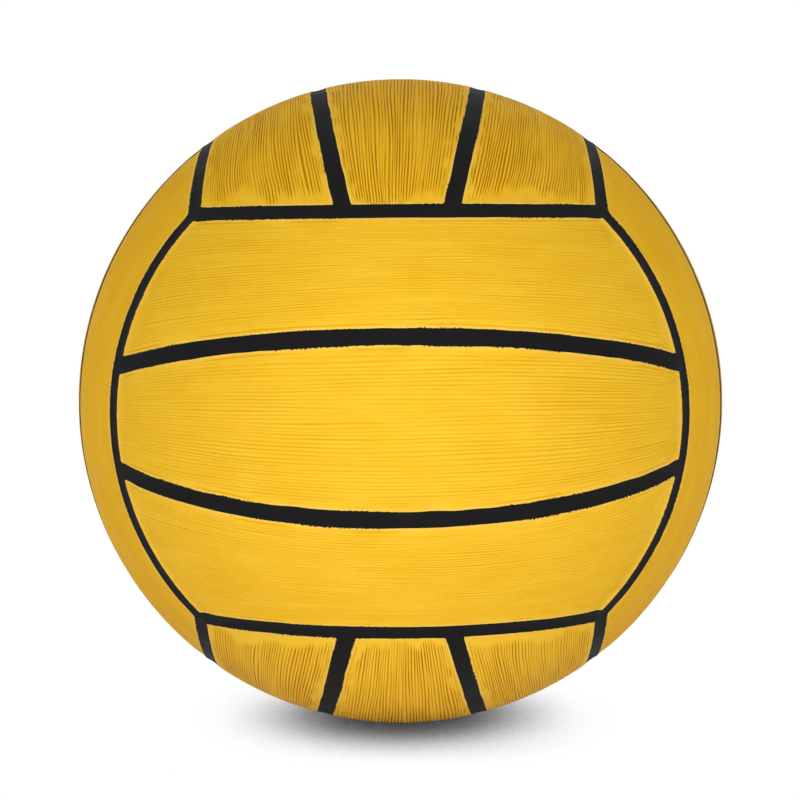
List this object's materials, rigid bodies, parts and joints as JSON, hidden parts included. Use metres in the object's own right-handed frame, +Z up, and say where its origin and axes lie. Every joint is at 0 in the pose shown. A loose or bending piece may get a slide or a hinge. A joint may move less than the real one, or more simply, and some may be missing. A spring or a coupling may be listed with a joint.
{
  "type": "water polo ball",
  "caption": "Inflated water polo ball with ribbed yellow rubber strips in crossing bands, sunk black seams and a push-in needle valve at the back.",
  "frame": {"origin": "the centre of the ball", "axes": "+Z up, -Y towards the front face that the picture shows, +Y out of the valve's needle bore"},
  "size_m": [0.21, 0.2099, 0.21],
  "materials": {
    "cover_rubber": "matte, finely ribbed",
    "seam_rubber": "satin, moulded",
    "nylon_yarn": "wound yarn",
    "butyl_rubber": "matte",
    "valve_rubber": "satin",
    "core_rubber": "satin"
  },
  "bodies": {
    "ball": {"front_lower_panel": "cover_rubber", "front_middle_panel": "cover_rubber", "front_upper_panel": "cover_rubber", "back_upper_panel": "cover_rubber", "back_middle_panel": "cover_rubber", "back_lower_panel": "cover_rubber", "top_right_panel": "cover_rubber", "top_middle_panel": "cover_rubber", "top_left_panel": "cover_rubber", "bottom_left_panel": "cover_rubber", "bottom_middle_panel": "cover_rubber", "bottom_right_panel": "cover_rubber", "right_rear_panel": "cover_rubber", "right_middle_panel": "cover_rubber", "right_front_panel": "cover_rubber", "left_front_panel": "cover_rubber", "left_middle_panel": "cover_rubber", "left_rear_panel": "cover_rubber", "carcass": "seam_rubber", "nylon_winding": "nylon_yarn", "bladder": "butyl_rubber", "valve_patch": "butyl_rubber", "valve_housing": "valve_rubber"},
    "core": {"valve_core": "core_rubber"}
  },
  "joints": [
    {"name": "core_pull", "type": "slide", "parent": "ball", "child": "core", "axis": [0, 1, 0], "range_m": [0, 0.017]}
  ]
}
